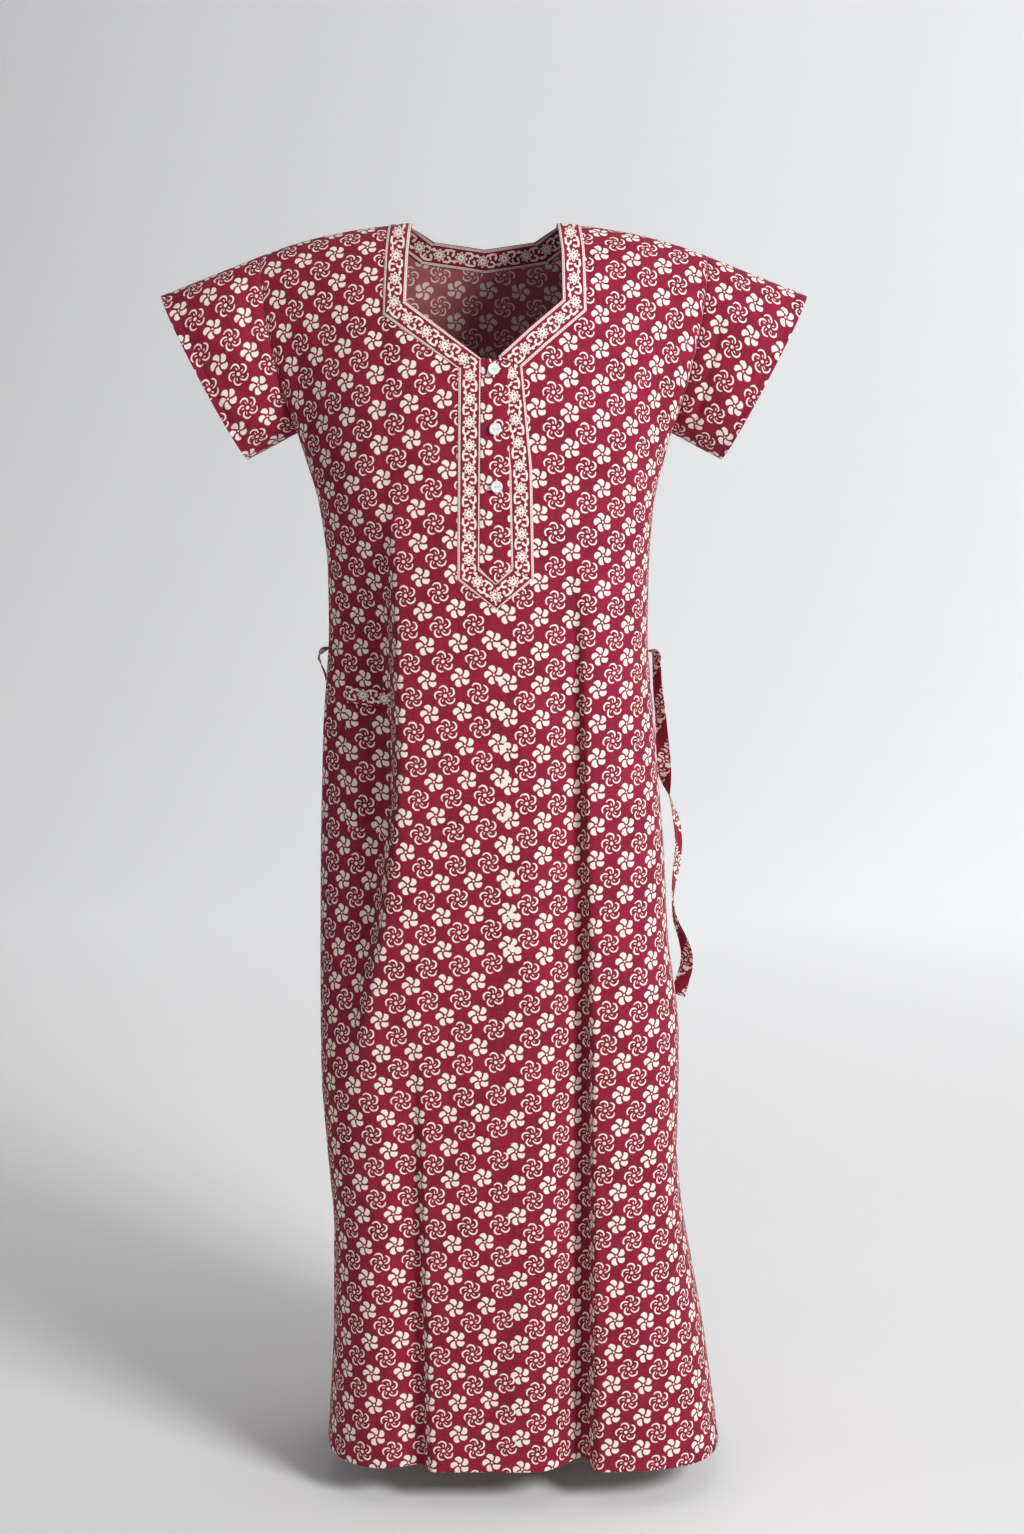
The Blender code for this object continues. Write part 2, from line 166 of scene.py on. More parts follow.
def wire_grid(name, points, closed_across=False):
    """A mesh from a grid of points (rows, columns, 3), one face to each cell, smooth."""
    rows, columns = points.shape[:2]
    number = np.arange(rows * columns).reshape(rows, columns)
    if closed_across:
        number = np.hstack((number, number[:, :1]))
    corners = (number[:-1, :-1], number[1:, :-1], number[1:, 1:], number[:-1, 1:])
    faces = np.stack(corners, axis=-1).reshape(-1, 4)
    mesh = bpy.data.meshes.new(name)
    mesh.from_pydata(points.reshape(-1, 3).tolist(), [], faces.tolist())
    mesh.polygons.foreach_set("use_smooth", np.ones(len(faces), bool))
    made = bpy.data.objects.new(name, mesh)
    bpy.context.scene.collection.objects.link(made)
    return made


def bowl(radius, turn):
    """The floor at that radius: flat, then a quarter ellipse up to the wall's top."""
    rise = np.clip((radius - FLOOR_RADIUS) / (WALL_RADIUS - FLOOR_RADIUS), 0, 1)
    height = FLOOR_Z + (WALL_TOP - FLOOR_Z) * (1 - np.sqrt(1 - rise**2))
    return np.stack((radius * np.cos(turn), radius * np.sin(turn), height), axis=-1)


radii = np.concatenate(([0.001, 1.0, 2.0],
                        FLOOR_RADIUS + (WALL_RADIUS - FLOOR_RADIUS) * np.linspace(0, 1, 30)))
turns = np.linspace(0, math.tau, 96, endpoint=False)
floor = wire_grid("floor", bowl(*np.meshgrid(radii, turns, indexing="ij")), closed_across=True)
floor_paint, floor_shader, spot = blank_material("floor_paint")
floor_shader.inputs["Base Color"].default_value = (0.92, 0.92, 0.92, 1)
floor_shader.inputs["Emission Strength"].default_value = 1.0
floor_shader.inputs["Roughness"].default_value = 0.9
spot_x, spot_y = spot.parts()[:2]
# Painted light: the wall's emission is zero in front and rises behind the gown, brighter to the right.
glow = (spot_y * 0.4).clip() * (spot_x * GLOW_TILT + GLOW).clip()
glow = glow.two((0, 0, 0, 1), (0.97, 0.98, 1, 1))
spot.tree.links.new(glow.socket, floor_shader.inputs["Emission Color"])
floor.data.materials.append(floor_paint)

world = bpy.data.worlds.new("surround")
world.use_nodes = True
world.node_tree.nodes["Background"].inputs["Color"].default_value = (*SURROUND, 1)
world.node_tree.nodes["Background"].inputs["Strength"].default_value = 0.15
bpy.context.scene.world = world

for lamp_name, place, width, power in LAMPS:
    lamp = bpy.data.objects.new(lamp_name, bpy.data.lights.new(lamp_name, "AREA"))
    lamp.data.shape, lamp.data.size, lamp.data.energy = "DISK", width, power
    lamp.data.spread = LAMP_SPREAD
    lamp.location = place
    aim = np.array((0.0, 0.0, -0.65)) - np.array(place)
    lamp.rotation_euler = (math.atan2(math.hypot(aim[0], aim[1]), -aim[2]), 0, math.atan2(-aim[0], aim[1]))
    bpy.context.scene.collection.objects.link(lamp)

camera = bpy.data.objects.new("camera", bpy.data.cameras.new("camera"))
camera.location = CAMERA_PLACE
camera.rotation_euler = (math.pi / 2 - CAMERA_DOWN, 0, 0)
camera.data.lens = 61.0
bpy.context.scene.collection.objects.link(camera)
bpy.context.scene.camera = camera
bpy.context.scene.view_settings.view_transform = "Standard"

# ---------------------------------------------------------------- printed cotton
# Thin plain-woven cotton, block printed in maroon, so that the flowers are the bare cream cloth.
# Filled pinwheels stand at the corners of a lattice and outlined ones between them.
PITCH = (35.4, 36.8)
MAROON = (0.290, 0.0125, 0.0440)
MAROON_DARK = (0.205, 0.0095, 0.0310)
MAROON_WORN = (0.360, 0.0430, 0.0720)
CREAM = (0.930, 0.850, 0.760)
CREAM_GREY = (0.800, 0.690, 0.600)


def cloth_material(name):
    """A new material with its shader, and its UV coordinates in millimetres as two wires."""
    made = bpy.data.materials.new(name)
    made.use_nodes = True
    tree = made.node_tree
    place = Wire(tree, tree.nodes.new("ShaderNodeUVMap").outputs[0])
    across, along, _ = place.parts()
    return made, tree.nodes["Principled BSDF"], place, across * 1000.0, along * 1000.0


def flowers(x, y, at, lean, rise):
    """The distance into the nearest flower, and how far that flower's centre is off, all in millimetres.

    One filled flower is at the point at; columns lean and rows rise by those angles. Folded into one of
    its five sectors, a filled petal is a disc of radius 4.25, cut by a wide hollow arc on its left; an
    outlined one is a disc of radius 5.1 less another of 4.1, cut off square at its back, with a short bar
    inside it.
    """
    lean, rise = math.radians(lean), math.radians(rise)
    row = (PITCH[0] * math.cos(rise), PITCH[0] * math.sin(rise))
    column = (PITCH[1] * math.sin(lean), -PITCH[1] * math.cos(lean))
    area = row[0] * column[1] - row[1] * column[0]
    dx, dy = x - at[0], y - at[1]
    p = (dx * column[1] - dy * column[0]) / area
    q = (dy * row[0] - dx * row[1]) / area
    a, b = p + q, p - q
    near_a, near_b = (a + 0.5).floor_(), (b + 0.5).floor_()
    outlined = ((near_a + near_b) * 0.5).fract() * 2.0
    off_p, off_q = (a - near_a + b - near_b) * 0.5, (a - near_a - b + near_b) * 0.5
    fx, fy = off_p * row[0] + off_q * column[0], off_p * row[1] + off_q * column[1]
    far = fx.long(fy)
    sector, first = math.tau / 5, math.radians(49)
    turn = ((fy.calc("ARCTAN2", fy, fx) + first - math.radians(37)) / sector).fract() * sector - first
    px, py = far * turn.calc("COSINE", turn), far * turn.calc("SINE", turn)
    petal = ((px - 6.4).long(py - 0.1) - 4.25).high(12.0 - (px + 1.12).long(py - 11.46)).low(far - 1.25)
    crescent = ((px - 6.7).long(py + 0.1) - 5.1).high(4.1 - (px - 6.03).long(py - 0.50))
    crescent = crescent.high((py + 0.1) * 0.663 - (px - 6.7) * 0.749 - 0.4)
    bar = (abs(px - 5.3) - 0.9).high(0.0).long(py + 1.0) - 0.65
    line = (crescent - 0.15).low(bar).low(far - 1.95)
    shape = petal + (line - petal) * outlined
    return shape, fx, fy


def hand_printed(x, y, place):
    """The coordinates, shifted by up to half a millimetre as a hand-set block leaves them."""
    drift = place.node("ShaderNodeTexNoise", {"Vector": place, "Scale": 160.0, "Detail": 2.0}, out=1)
    drift_x, drift_y, _ = drift.parts()
    return x + (drift_x - 0.5) * 1.6, y + (drift_y - 0.5) * 1.6


def dress(made, shader, place, cream, wrong_side=False):
    """Links the cloth's colour, its roughness and its weave to the shader."""
    mottle = place.node("ShaderNodeTexNoise", {"Vector": place, "Scale": 26.0, "Detail": 4.0})
    threads = []
    for stretch in ((1.0, 0.035, 1.0), (0.035, 1.0, 1.0)):
        drawn = place.node("ShaderNodeVectorMath", {0: place, 1: stretch}, operation="MULTIPLY")
        threads.append(drawn.node("ShaderNodeTexNoise", {"Vector": drawn, "Scale": 900.0, "Detail": 2.0}))
    slub = (threads[0] + threads[1]) * 0.5
    dark = (mottle * 3.0 - 1.1).clip()
    ink = dark.two((*MAROON, 1), (*MAROON_DARK, 1))
    ink = ink.blend((*MAROON_WORN, 1), (slub * 4.0 - 1.95).clip() * 0.5)
    grey = (slub * 3.0 - 1.3).clip() * 0.6
    bare = grey.two((*CREAM, 1), (*CREAM_GREY, 1))
    if wrong_side:
        ink = ink.blend((0.52, 0.22, 0.24, 1), 0.45)
        bare = bare.blend((0.60, 0.36, 0.34, 1), 0.40)
    tree = place.tree
    tree.links.new(ink.blend(bare, cream).socket, shader.inputs["Base Color"])
    tree.links.new((0.78 + slub * 0.16).socket, shader.inputs["Roughness"])
    crumple = place.node("ShaderNodeTexNoise",
                         {"Vector": place, "Scale": 38.0, "Detail": 5.0, "Roughness": 0.62})
    weave = place.node("ShaderNodeBump", {"Strength": 0.25, "Distance": 0.0002, "Height": slub})
    bump = place.node("ShaderNodeBump",
                      {"Strength": 0.30, "Distance": 0.0022, "Height": crumple, "Normal": weave})
    tree.links.new(bump.socket, shader.inputs["Normal"])
    shader.inputs["Sheen Weight"].default_value = 0.04
    shader.inputs["Sheen Roughness"].default_value = 0.5
    shader.inputs["Specular IOR Level"].default_value = 0.18
    return made


def printed_cotton(name, at, lean=0.0, rise=0.0, second=None, wrong_side=False, stitched=()):
    """Cotton with one printed block, or with two that overlap along a line: second is the other block's at,
    lean and rise, the point that the line passes through, how far it moves across for each millimetre
    down, and the height below which the first block's columns lean less."""
    made, shader, place, x, y = cloth_material(name)
    x, y = hand_printed(x, y, place)
    if second:
        other_at, other_lean, other_rise, line_at, line_lean, bend_at = second
        bent = (bend_at - y).high(0.0) * 0.0310
        shape, away_x, away_y = flowers(x + bent, y, at, lean, rise)
        other, other_x, _ = flowers(x, y, other_at, other_lean, other_rise)
        line = (line_at[1] - y) * line_lean + line_at[0]
        merged = (bend_at - 90.0 - y + away_y).clip() * 14.0
        shape = shape.high(x - away_x - line - 5.0 + merged).low(other.high(line - x + other_x - 5.0))
    else:
        shape, _, _ = flowers(x, y, at, lean, rise)
    for hole_x, hole_y in stitched:
        shape = shape.low((x - hole_x * 1000).long((abs(y - hole_y * 1000) - 7.0).high(0.0)) - 1.1)
    rough = place.node("ShaderNodeTexNoise", {"Vector": place, "Scale": 900.0, "Detail": 1.0})
    cream = (shape + rough * 0.45 - 0.05).inside(0.35)
    return dress(made, shader, place, cream, wrong_side)


# ---------------------------------------------------------------- front and back panels
# Two panels of the printed cotton, cut wide and sewn at the shoulders and down both sides. The front hangs
# forwards off the chest in flat pressed folds: one fold edge at the left of the front, and two long valleys
# in the skirt.
LENGTH, UNDERARM = 1.366, 0.225
CHEST_DEPTH, BACK_DEPTH = 0.122, 0.085
SHOULDER_TIP, SHOULDER_FALL = 0.240, 0.036
ARMHOLE_INSET, ARMHOLE_HALF_DEPTH = 0.037, 0.048
CLOTH = 0.0005
HEM_DEPTH = 0.011
# Height, x of the right seam (negative) and of the left seam
SIDES = (
    (-0.225, -0.203, 0.203), (-0.295, -0.181, 0.185), (-0.360, -0.172, 0.180), (-0.450, -0.172, 0.179),
    (-0.550, -0.180, 0.188), (-0.680, -0.184, 0.199), (-0.780, -0.185, 0.204), (-0.870, -0.185, 0.217),
    (-0.950, -0.184, 0.218), (-1.030, -0.178, 0.216), (-1.100, -0.172, 0.224), (-1.240, -0.174, 0.250),
    (-1.366, -0.182, 0.268),
)
# Height, how far the front and the back stand from the side seams
DEPTHS = ((-0.225, 0.122, 0.085), (-0.400, 0.122, 0.082), (-0.650, 0.130, 0.112), (-0.950, 0.143, 0.135),
          (-1.366, 0.158, 0.155))
# Height, x of the front's fold edge, how far the cloth beside it sinks back
SIDE_FOLD = ((-0.300, -0.102, 0.000), (-0.420, -0.100, 0.040), (-0.600, -0.098, 0.045),
             (-0.750, -0.115, 0.034), (-0.920, -0.150, 0.000), (-1.366, -0.150, 0.000))
# Height, x and depth of the skirt's long valleys
RIGHT_VALLEY = ((-0.330, 0.095, 0.0), (-0.500, 0.099, 0.015), (-0.900, 0.110, 0.026), (-1.366, 0.114, 0.040))
LEFT_VALLEY = ((-0.850, -0.078, 0.0), (-1.000, -0.075, 0.010), (-1.366, -0.069, 0.020))
# Pressed creases: x and height at their two ends, depth in millimetres (below zero stands out), half width
CREASES = {
    -1: ((-0.110, -0.060, -0.100, -0.400, 1.3, 0.0030), (0.103, -0.210, 0.113, -0.980, 1.0, 0.0030),
         (0.113, -0.980, 0.119, -1.366, 1.2, 0.0035), (-0.095, -0.671, 0.190, -0.678, -0.8, 0.0035),
         (0.164, -0.980, 0.194, -1.240, 1.8, 0.0060), (-0.075, -0.990, -0.069, -1.366, 1.0, 0.0035),
         (-0.215, -0.090, -0.168, -0.270, 3.0, 0.0080), (0.213, -0.085, 0.172, -0.270, 2.6, 0.0080)),
    1: ((-0.098, -0.250, -0.104, -1.366, 1.0, 0.0030), (0.104, -0.250, 0.110, -1.366, -0.9, 0.0030),
        (-0.160, -0.672, 0.165, -0.680, 0.8, 0.0035)),
}
NECK_CUT = {
    -1: ((-0.0895, 0.040), (-0.0915, -0.030), (-0.0935, -0.0895), (-0.0135, -0.1465), (0.0285, -0.1440),
         (0.0955, -0.0870), (0.0945, -0.0300), (0.0905, 0.040)),
    1: ((-0.0905, 0.040), (-0.0905, -0.011), (-0.0625, -0.0325), (0.0, -0.042), (0.0625, -0.0325),
        (0.0905, -0.011), (0.0905, 0.040)),
}
draw = np.random.default_rng(11)
# Soft wrinkles of each panel: x, height, lean, length, width, depth in metres
WRINKLES = {
    side: np.column_stack((draw.uniform(-0.19, 0.21, 70), draw.uniform(-1.30, -0.10, 70),
                           draw.normal(0, 0.16, 70), draw.uniform(0.05, 0.20, 70),
                           draw.uniform(0.006, 0.020, 70), draw.normal(0, 0.0008, 70)))
    for side in (-1, 1)
}


def station(table, z):
    """The table's columns at heights z: straight lines between its rows, rounded off over about 90 mm."""
    rows = np.array(table)[::-1]
    fine = np.linspace(rows[0, 0], rows[-1, 0], 700)
    window = np.exp(-np.square(np.linspace(-2.2, 2.2, 45)))
    half = len(window) // 2
    columns = []
    for column in rows[:, 1:].T:
        line = np.pad(np.interp(fine, rows[:, 0], column), half, mode="reflect", reflect_type="odd")
        columns.append(np.interp(z, fine, np.convolve(line, window / window.sum(), "valid")))
    return columns


def shoulder_rows(v):
    """Above the underarm: half the width, the middle's height, the armhole's height and its depth."""
    along = (1 - np.cos(v * math.pi)) / 2
    half = SHOULDER_TIP - ARMHOLE_INSET * along**1.5
    tip = -SHOULDER_FALL - (UNDERARM - SHOULDER_FALL) * along
    return half, -UNDERARM * (1 - np.cos(v * math.pi / 2)), tip, ARMHOLE_HALF_DEPTH * np.sin(v * math.pi)


def skin(side, u, v):
    """The body without its small wrinkles: side is -1 for the front, 1 for the back; u is -1 to 1 across it.

    v is 0 at the shoulders, 1 at the underarm and 2 at the hem. Each row is a curve (1 -
    |u|^power)^roundness deep, and its middle and edges follow quarter turns above the underarm and the
    tables of stations below it.
    """
    top = np.minimum(v, 1.0)
    half, middle, tip, edge = shoulder_rows(top)
    chest_z = middle + (tip - middle) * np.abs(u) ** 2.6
    skirt_z = -UNDERARM - (LENGTH - UNDERARM) * (v - 1)
    right, left = station(SIDES, skirt_z)
    depth = station(DEPTHS, skirt_z)[0 if side < 0 else 1]
    skirt_x = (right + left) / 2 + u * (left - right) / 2
    if side < 0:
        fold, sink = station(SIDE_FOLD, skirt_z)
        beside = np.maximum(fold - skirt_x, 0)
        depth = depth - sink * (0.5 + 0.5 * np.tanh((fold - skirt_x) / 0.005)) * (1 + beside / 0.12)
        for table in (RIGHT_VALLEY, LEFT_VALLEY):
            place, deep = station(table, skirt_z)
            width = np.where(skirt_x < place, 0.030, 0.005)
            depth = depth - deep * np.exp(-np.square((skirt_x - place) / width))
        power = 2.4 + 2.0 * np.clip((v - 1) / 0.6, 0, 1)
    else:
        growth = np.maximum(0, (-0.45 - skirt_z) / (LENGTH - 0.45))
        depth = depth - 0.020 * growth * (0.5 - 0.5 * np.cos(skirt_x * math.tau / 0.15))
        power = 2.4 - 0.2 * np.clip((v - 0.9) / 0.2, 0, 1)
    chest_depth = (CHEST_DEPTH if side < 0 else BACK_DEPTH) * np.sin(top * math.pi / 2)
    is_chest = v < 1.0
    x = np.where(is_chest, u * half, skirt_x)
    z = np.where(is_chest, chest_z, skirt_z)
    deepest = np.where(is_chest, chest_depth, depth)
    edge = np.where(is_chest, edge, 0.0)
    roundness = 0.85 + (1 / power - 0.85) * np.clip((v - 0.5) / 0.5, 0, 1)
    bulge = np.maximum(0, 1 - np.abs(u) ** power) ** roundness
    return np.stack((x, side * (edge + (deepest - edge) * bulge), z), axis=-1)


def outward(side, u, v):
    """The body's unit normals, from differences of the skin a little to each side."""
    step = 0.003
    across = skin(side, np.minimum(u + step, 1), v) - skin(side, np.maximum(u - step, -1), v)
    down = skin(side, u, np.minimum(v + step, 2)) - skin(side, u, np.maximum(v - step, 0))
    normal = np.cross(across, down) * side
    return normal / np.linalg.norm(normal, axis=-1, keepdims=True)


def relief(side, u, points):
    """How far wrinkles and creases lift the cloth, in metres: nothing at the seams, so that the panels still
    meet."""
    x, z = points[..., 0], points[..., 2]
    lift = np.zeros_like(x)
    for at_x, at_z, lean, length, width, depth in WRINKLES[side]:
        dx, dz = x - at_x, z - at_z
        lift += depth * np.exp(-np.square((dx - lean * dz) / width) - np.square(dz / length))
    for x0, z0, x1, z1, depth, width in CREASES[side]:
        span = np.array((x1 - x0, z1 - z0))
        size = np.linalg.norm(span)
        along = ((x - x0) * span[0] + (z - z0) * span[1]) / size
        across = ((x - x0) * span[1] - (z - z0) * span[0]) / size
        ends = 1 / (1 + np.exp(-along / 0.012)) / (1 + np.exp((along - size) / 0.012))
        lift -= depth / 1000 * ends / np.cosh(across / width)
    stitch = np.abs(z + LENGTH - HEM_DEPTH)
    lift *= np.clip((-z - 0.01) / 0.05, 0, 1)
    lift -= 0.0005 * np.exp(-np.square(stitch / 0.0012))
    return lift * (1 - np.abs(u) ** 10)


def find(x, z, side):
    """The u and v of the points that are seen from the front at (x, z): halving above the underarm, direct
    below."""
    low, high = np.zeros_like(x), np.ones_like(x)
    for _ in range(36):
        v = (low + high) / 2
        half, middle, tip, _ = shoulder_rows(v)
        above = middle + (tip - middle) * np.abs(x / half) ** 2.6 > z
        low, high = np.where(above, v, low), np.where(above, high, v)
    right, left = station(SIDES, z)
    is_chest = z > -UNDERARM
    u = np.where(is_chest, x / shoulder_rows(v)[0], (2 * x - right - left) / (left - right))
    return u, np.where(is_chest, v, 1 + (-z - UNDERARM) / (LENGTH - UNDERARM))


def on_body(side, x, z, height):
    """Points that stand that height above the cloth where it is seen at (x, z)."""
    u, v = find(x, z, side)
    points, normals = skin(side, u, v), outward(side, u, v)
    return points + normals * (relief(side, u, points) + height)[..., None]


def within(outline, x, z):
    """True where (x, z) is inside the outline: an odd number of its edges lie to one side."""
    odd = np.zeros(x.shape, bool)
    for (x0, z0), (x1, z1) in zip(outline, outline[1:] + outline[:1]):
        crosses = (z0 > z) != (z1 > z)
        odd ^= crosses & (x < (x1 - x0) * (z - z0) / ((z1 - z0) or 1e-9) + x0)
    return odd


def cloth_piece(name, grids, materials, keep=None, thickness=0.0):
    """One piece of cloth from grids of (points, UVs in metres), joined where their edges meet.

    Each grid's rows go down and its columns to the right, seen from outside. keep is a mask of the cells
    to make.
    """
    points_all, faces_all, uvs_all, base = [], [], [], 0
    for points, uvs in grids:
        rows, columns = points.shape[:2]
        number = base + np.arange(rows * columns).reshape(rows, columns)
        corners = (number[:-1, :-1], number[1:, :-1], number[1:, 1:], number[:-1, 1:])
        cells = np.stack(corners, axis=-1).reshape(-1, 4)
        if keep is not None:
            cells = cells[keep.ravel()]
        points_all.append(points.reshape(-1, 3))
        uvs_all.append(uvs.reshape(-1, 2))
        faces_all.append(cells)
        base += rows * columns
    mesh = bpy.data.meshes.new(name)
    faces = np.concatenate(faces_all)
    mesh.from_pydata(np.concatenate(points_all).tolist(), [], faces.tolist())
    uv = mesh.uv_layers.new(name="cut")
    uv.data.foreach_set("uv", np.concatenate(uvs_all)[faces.ravel()].ravel())
    mesh.polygons.foreach_set("use_smooth", np.ones(len(faces), bool))
    work = bmesh.new()
    work.from_mesh(mesh)
    bmesh.ops.delete(work, geom=[p for p in work.verts if not p.link_faces], context="VERTS")
    bmesh.ops.remove_doubles(work, verts=work.verts, dist=2e-6)
    work.to_mesh(mesh)
    work.free()
    obj = bpy.data.objects.new(name, mesh)
    bpy.context.scene.collection.objects.link(obj)
    for cotton in materials:
        mesh.materials.append(cotton)
    if thickness:
        solid = obj.modifiers.new("cloth", "SOLIDIFY")
        solid.thickness, solid.offset = thickness, -1.0
        solid.material_offset = len(materials) - 1
        bpy.context.view_layer.objects.active = obj
        with bpy.context.temp_override(object=obj, active_object=obj):
            bpy.ops.object.modifier_apply(modifier=solid.name)
    return obj


def face_outwards(mesh, merge=0.0, thin=0.0):
    """Turns a closed mesh's faces outwards; before that, merges points or removes thin faces closer than
    given."""
    work = bmesh.new()
    work.from_mesh(mesh)
    if merge:
        bmesh.ops.remove_doubles(work, verts=work.verts, dist=merge)
    if thin:
        bmesh.ops.dissolve_degenerate(work, dist=thin, edges=work.edges)
    bmesh.ops.recalc_face_normals(work, faces=work.faces)
    work.to_mesh(mesh)
    work.free()


def panel(side):
    """One panel of the body as a grid: its points, its cloth coordinates and its cells outside the neck."""
    u = np.sin(math.pi / 2 * 0.93 * np.linspace(-1, 1, 141)) / math.sin(math.pi / 2 * 0.93) * -side
    v = np.concatenate((np.linspace(0, 1, 64, endpoint=False), np.linspace(1, 1.984, 238, endpoint=False),
                        np.linspace(1.984, 2, 18)))
    u, v = np.meshgrid(u, v)
    base = skin(side, u, v)
    points = base + outward(side, u, v) * relief(side, u, base)[..., None]
    middle, underarm = base.shape[1] // 2, 64
    steps = np.linalg.norm(np.diff(base, axis=1), axis=-1)
    across = np.concatenate((np.zeros_like(base[:, :1, 0]), np.cumsum(steps, axis=1)), axis=1)
    across -= across[:, middle:middle + 1] + side * base[:, middle:middle + 1, 0]
    drops = np.linalg.norm(np.diff(base, axis=0), axis=-1)
    down = np.concatenate((np.zeros_like(base[:1, :, 0]), np.cumsum(drops, axis=0)), axis=0)
    down -= down[underarm:underarm + 1]
    down[underarm:] = down[underarm:, middle:middle + 1]
    droop = 0.55 * across**2 * np.clip((base[..., 2] + 0.50) / 0.25, 0, 1)
    uvs = np.stack((across, -UNDERARM - down + droop), axis=-1)
    centre = (points[:-1, :-1] + points[1:, 1:]) / 2
    keep = ~within(NECK_CUT[side], centre[..., 0], centre[..., 2])
    return points, uvs, keep


FRONT_PRINT = dict(at=(13.0, -509.0), lean=3.4, rise=4.5,
                   second=((26.5, -518.0), 1.0, -4.5, (19.5, -509.0), 0.0286, -700.0))
BACK_PRINT = dict(at=(4.0, -512.0), lean=1.0, rise=1.5)
front_cotton = printed_cotton("front_cotton", **FRONT_PRINT)
front_inside = printed_cotton("front_wrong_side", wrong_side=True, **FRONT_PRINT)
back_cotton = printed_cotton("back_cotton", **BACK_PRINT)
back_inside = printed_cotton("back_wrong_side", wrong_side=True, **BACK_PRINT)
panels = {}
for side, name, cottons in ((-1, "front_panel_cloth", (front_cotton, front_inside)),
                            (1, "back_panel_cloth", (back_cotton, back_inside))):
    points, uvs, keep = panel(side)
    panels[side] = cloth_piece(name, [(points, uvs)], cottons, keep, CLOTH)
    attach(panels[side], "gown")
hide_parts("front_panel")
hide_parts("back_panel")

# ---------------------------------------------------------------- sleeves
# Short open sleeves set into the armholes, sewn under the arm and hemmed. The print runs along each sleeve.
SLEEVE_TOP, SLEEVE_BOTTOM = (0.348, -0.078), (0.258, -0.254)
SLEEVE_HALF_DEPTH = 0.052
SLEEVE_LENGTH = math.hypot(SLEEVE_TOP[0] - SHOULDER_TIP, SLEEVE_TOP[1] + SHOULDER_FALL)


def sleeve_skin(turn, part):
    """The left sleeve: turn is 0 over the shoulder and half a turn under the arm, part is 0 at the armhole
    and 1 at the hem. Straight lines join an armhole loop to a hem loop, with a slight fullness near the
    seam."""
    fall, swing = (1 - np.cos(turn)) / 2, np.sin(turn)
    arm = np.stack((SHOULDER_TIP - ARMHOLE_INSET * fall**1.5, -ARMHOLE_HALF_DEPTH * swing,
                    -SHOULDER_FALL - (UNDERARM - SHOULDER_FALL) * fall), axis=-1)
    hem = np.stack((SLEEVE_TOP[0] + (SLEEVE_BOTTOM[0] - SLEEVE_TOP[0]) * fall, -SLEEVE_HALF_DEPTH * swing,
                    SLEEVE_TOP[1] + (SLEEVE_BOTTOM[1] - SLEEVE_TOP[1]) * fall), axis=-1)
    point = arm + (hem - arm) * part[..., None]
    full = 0.0065 * np.sin(math.pi * np.clip(part / 0.9, 0, 1)) ** 0.8 * np.sign(swing) * np.abs(swing) ** 0.7
    point[..., 1] -= full
    return point


def sleeve(hand):
    """A sleeve's grid of points and its cloth coordinates: hand is -1 for the wearer's right, 1 for the
    left."""
    turn = np.linspace(-math.pi, math.pi, 241)
    part = np.concatenate((np.linspace(0, 0.88, 40, endpoint=False), np.linspace(0.88, 1, 16)))
    part = part if hand > 0 else part[::-1]
    part, turn = np.meshgrid(part, turn)
    base = sleeve_skin(turn, part)
    lean = np.gradient(base, axis=1) * hand
    round_ = np.gradient(base, axis=0)
    normal = np.cross(round_, lean)
    normal /= np.linalg.norm(normal, axis=-1, keepdims=True)
    stitch = (1 - part) * SLEEVE_LENGTH - HEM_DEPTH
    lift = -0.0005 * np.exp(-np.square(stitch / 0.0012))
    lift += 0.0012 * np.sin(turn * 7 + 9 * part + hand) * np.sin(math.pi * part) * np.abs(np.sin(turn))
    lift -= 0.0022 * np.exp(-np.square((part - 0.22 + 0.08 * np.cos(turn)) / 0.06)) * np.abs(np.sin(turn))
    points = base + normal * lift[..., None]
    points[..., 0] *= hand
    steps = np.linalg.norm(np.diff(base, axis=0), axis=-1)
    around = np.concatenate((np.zeros_like(base[:1, :, 0]), np.cumsum(steps, axis=0)), axis=0)
    around -= around[120:121]
    out = np.linalg.norm(base - base[:, :1] if hand > 0 else base - base[:, -1:], axis=-1)
    return points, np.stack((hand * out, -around), axis=-1)


SLEEVE_SIDES = (
    (-1, "sleeve_right", "right_sleeve", (94.5, -5.0)),
    (1, "sleeve_left", "left_sleeve", (91.0, -14.5)),
)
sleeves = {}
for hand, node, body, at in SLEEVE_SIDES:
    at = (hand * at[0], at[1])
    cotton = printed_cotton(node + "_cotton", at)
    lining = printed_cotton(node + "_wrong_side", at, wrong_side=True)
    sleeves[hand] = cloth_piece(node + "_cloth", [sleeve(hand)], (cotton, lining), None, CLOTH)
    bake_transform(sleeves[hand])
    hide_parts(node)

# ---------------------------------------------------------------- neck and placket bands
# Strips of a cotton border print, folded and sewn round the neck, down both sides of the placket and to its
# point. They are mitred at each corner. A stitch line runs just inside each edge. BAND_LOW and BAND_HIGH
# are the heights of their two faces above the panel.
BAND_LOW, BAND_HIGH = -0.0008, 0.0009


